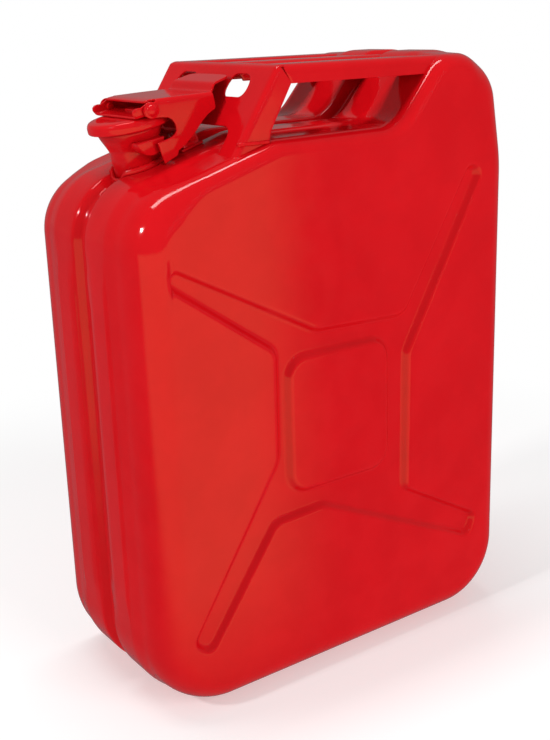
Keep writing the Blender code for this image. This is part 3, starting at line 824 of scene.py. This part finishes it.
def weld_bead(name, path, radius, closed, matrix=None):
    """A bead of weld along a path, rippled by (size, turn per point) waves."""
    sides = 10
    count = len(path)
    path = np.array(path)
    points = []
    for i in range(count):
        before = path[i - 1] if closed else path[max(i - 1, 0)]
        after = path[(i + 1) % count] if closed else path[min(i + 1, count - 1)]
        along = (after - before) / np.linalg.norm(after - before)
        out = np.cross(along, (0, 0, 1.0))
        out /= np.linalg.norm(out)
        over = np.cross(out, along)
        size = radius * (1 + sum(wave * math.sin(i * turn) for wave, turn in RIPPLES))
        for k in range(sides):
            a = 2 * math.pi * k / sides
            points.append(path[i] + out * size * math.cos(a) + over * size * math.sin(a))
    faces = quads(count, sides, closed)
    if not closed:
        faces += [tuple(range(sides)), tuple((count - 1) * sides + k for k in reversed(range(sides)))]
    piece(name, points, faces, "can", [], matrix)


def slope_height(t):
    """Height of the can's slope in the neck frame."""
    turn = math.atan(SLOPE_RISE) - NECK_LEAN
    t0, s0 = NECK_SUNK * math.sin(NECK_LEAN), NECK_SUNK * math.cos(NECK_LEAN)
    return s0 + (t - t0) * math.tan(turn)


def make_neck_weld():
    """A bead round the neck's foot, which dips into the seam at the front and the back."""
    radius, steps, proud, dip, bead = 18.6, 96, 2.2, 5.6, 1.5
    path = []
    for k in range(steps):
        a = 2 * math.pi * k / steps
        t, y = radius * math.cos(a), radius * math.sin(a)
        in_seam = 1 - float(smooth((abs(y) - 5) / 6))
        path.append((t, y, slope_height(t) + proud - dip * in_seam))
    weld_bead("neck_foot_weld", path, bead, True, NECK)


def make_foot_weld(name, side):
    """A bead along one foot of the front plate, where it meets the can's top edge."""
    out, proud, bead = 73.3, 0.5, 1.3
    from_x, to_x = -85.5, -59.0
    slope = top_line(out + 0.1, -112, 40, 380)
    path = [(x, side * out, float(np.interp(x, *slope.T)) + proud) for x in np.arange(from_x, to_x, bead)]
    weld_bead("handle_foot_weld_" + name, path, bead, False)


make_neck_weld()
make_foot_weld("near", -1)
make_foot_weld("far", 1)

# CAD nodes that stay, with softened edges
FINISH = {"gasket": RUBBER, "breather_tube": STEEL}
for name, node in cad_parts.items():
    if node.hide_render:
        continue
    node.data.materials.clear()
    node.data.materials.append(FINISH.get(name, RED))
    weld = node.modifiers.new("weld", "WELD")
    weld.merge_threshold = 1e-6
    soften(node, 0.4, 35)
    node.data.shade_smooth()


# Stage
def floor_material():
    """Pale paper that keeps the shadow and fades to white.

    Glossy rays see a painted reflection instead: a dim grey glow, and a warm bright glow at the front
    left that paints a lit patch on the can's near face.
    """
    mat, graph, bsdf, where = new_material("floor")
    tree = mat.node_tree
    tree.nodes.remove(bsdf)
    paper = graph.add("ShaderNodeBsdfDiffuse", {}, {"Color": (0.75, 0.75, 0.75)})
    glow = graph.add("ShaderNodeEmission", {}, {"Color": (1, 1, 1), "Strength": 0.34})
    near = graph.add("ShaderNodeAddShader", {}, {0: paper.outputs[0], 1: glow.outputs[0]})
    white = graph.add("ShaderNodeEmission", {}, {"Color": (1, 1, 1), "Strength": 1.0})
    away = graph.add("ShaderNodeVectorMath", {"operation": "LENGTH"}, {0: where})
    far = Value(graph, away.outputs["Value"]).between(0.42, 0.75)
    seen = graph.add("ShaderNodeMixShader", {}, {0: far, 1: near.outputs[0], 2: white.outputs[0]})
    axes = graph.add("ShaderNodeSeparateXYZ", {}, {0: where})
    x, y = Value(graph, axes.outputs["X"]), Value(graph, axes.outputs["Y"])
    # Painted reflection: only glossy rays see this glow, warm and bright at the front left and dim grey
    # elsewhere
    painted_reflection_mask = (1 - (x + y * 0.72).between(-0.19, -0.04)) * (1 - y.between(-0.3, -0.05))
    shade = graph.mix(painted_reflection_mask, (0.16, 0.16, 0.17), (1.2, 0.95, 0.5))
    sheet = graph.add("ShaderNodeEmission", {}, {"Color": shade, "Strength": 1.0})
    rays = graph.add("ShaderNodeLightPath", {}, {})
    gloss = graph.add("ShaderNodeMixShader", {}, {
        0: rays.outputs["Is Glossy Ray"], 1: seen.outputs[0], 2: sheet.outputs[0]})
    graph.feed(tree.nodes["Material Output"], {"Surface": gloss.outputs[0]})
    return mat


def make_floor():
    half = 6
    mesh = bpy.data.meshes.new("floor")
    corners = [(-half, -half, 0), (half, -half, 0), (half, half, 0), (-half, half, 0)]
    mesh.from_pydata(corners, [], [(0, 1, 2, 3)])
    mesh.materials.append(floor_material())
    floor = bpy.data.objects.new("floor", mesh)
    scene.collection.objects.link(floor)


def make_world():
    """White to the camera, dim in the gloss, and a plain soft light."""
    world = bpy.data.worlds.new("world")
    scene.world = world
    world.use_nodes = True
    world.node_tree.nodes.clear()
    sky = Graph(world.node_tree)
    seen, lit, room = (sky.add("ShaderNodeBackground", {}, {"Color": (1, 1, 1), "Strength": strength})
                       for strength in (1.0, 0.34, 0.2))
    rays = sky.add("ShaderNodeLightPath", {}, {})
    gloss = sky.add("ShaderNodeMixShader", {}, {
        0: rays.outputs["Is Glossy Ray"], 1: lit.outputs[0], 2: room.outputs[0]})
    either = sky.add("ShaderNodeMixShader", {}, {
        0: rays.outputs["Is Camera Ray"], 1: gloss.outputs[0], 2: seen.outputs[0]})
    sky.add("ShaderNodeOutputWorld", {}, {0: either.outputs[0]})


def lamp(name, at, size, power):
    """A soft box that faces the middle of the can."""
    data = bpy.data.lights.new(name, "AREA")
    data.shape = "RECTANGLE"
    data.size, data.size_y = size
    data.energy = power
    obj = bpy.data.objects.new(name, data)
    obj.location = at
    obj.rotation_euler = (Vector((0, 0, 0.25)) - Vector(at)).to_track_quat("-Z", "Y").to_euler()
    scene.collection.objects.link(obj)
    return obj


make_floor()
make_world()
overhead = lamp("overhead", (-0.25, 0.25, 2.3), (1.5, 0.3), 17)
overhead.rotation_euler = (0, 0, 0)
lamp("left", (-1.75, -0.1, 1.35), (0.16, 0.16), 13)
front = lamp("front", (0.5, -2.5, 1.2), (1.4, 1.4), 34)
front.visible_glossy = False

scene.view_settings.view_transform = "Standard"
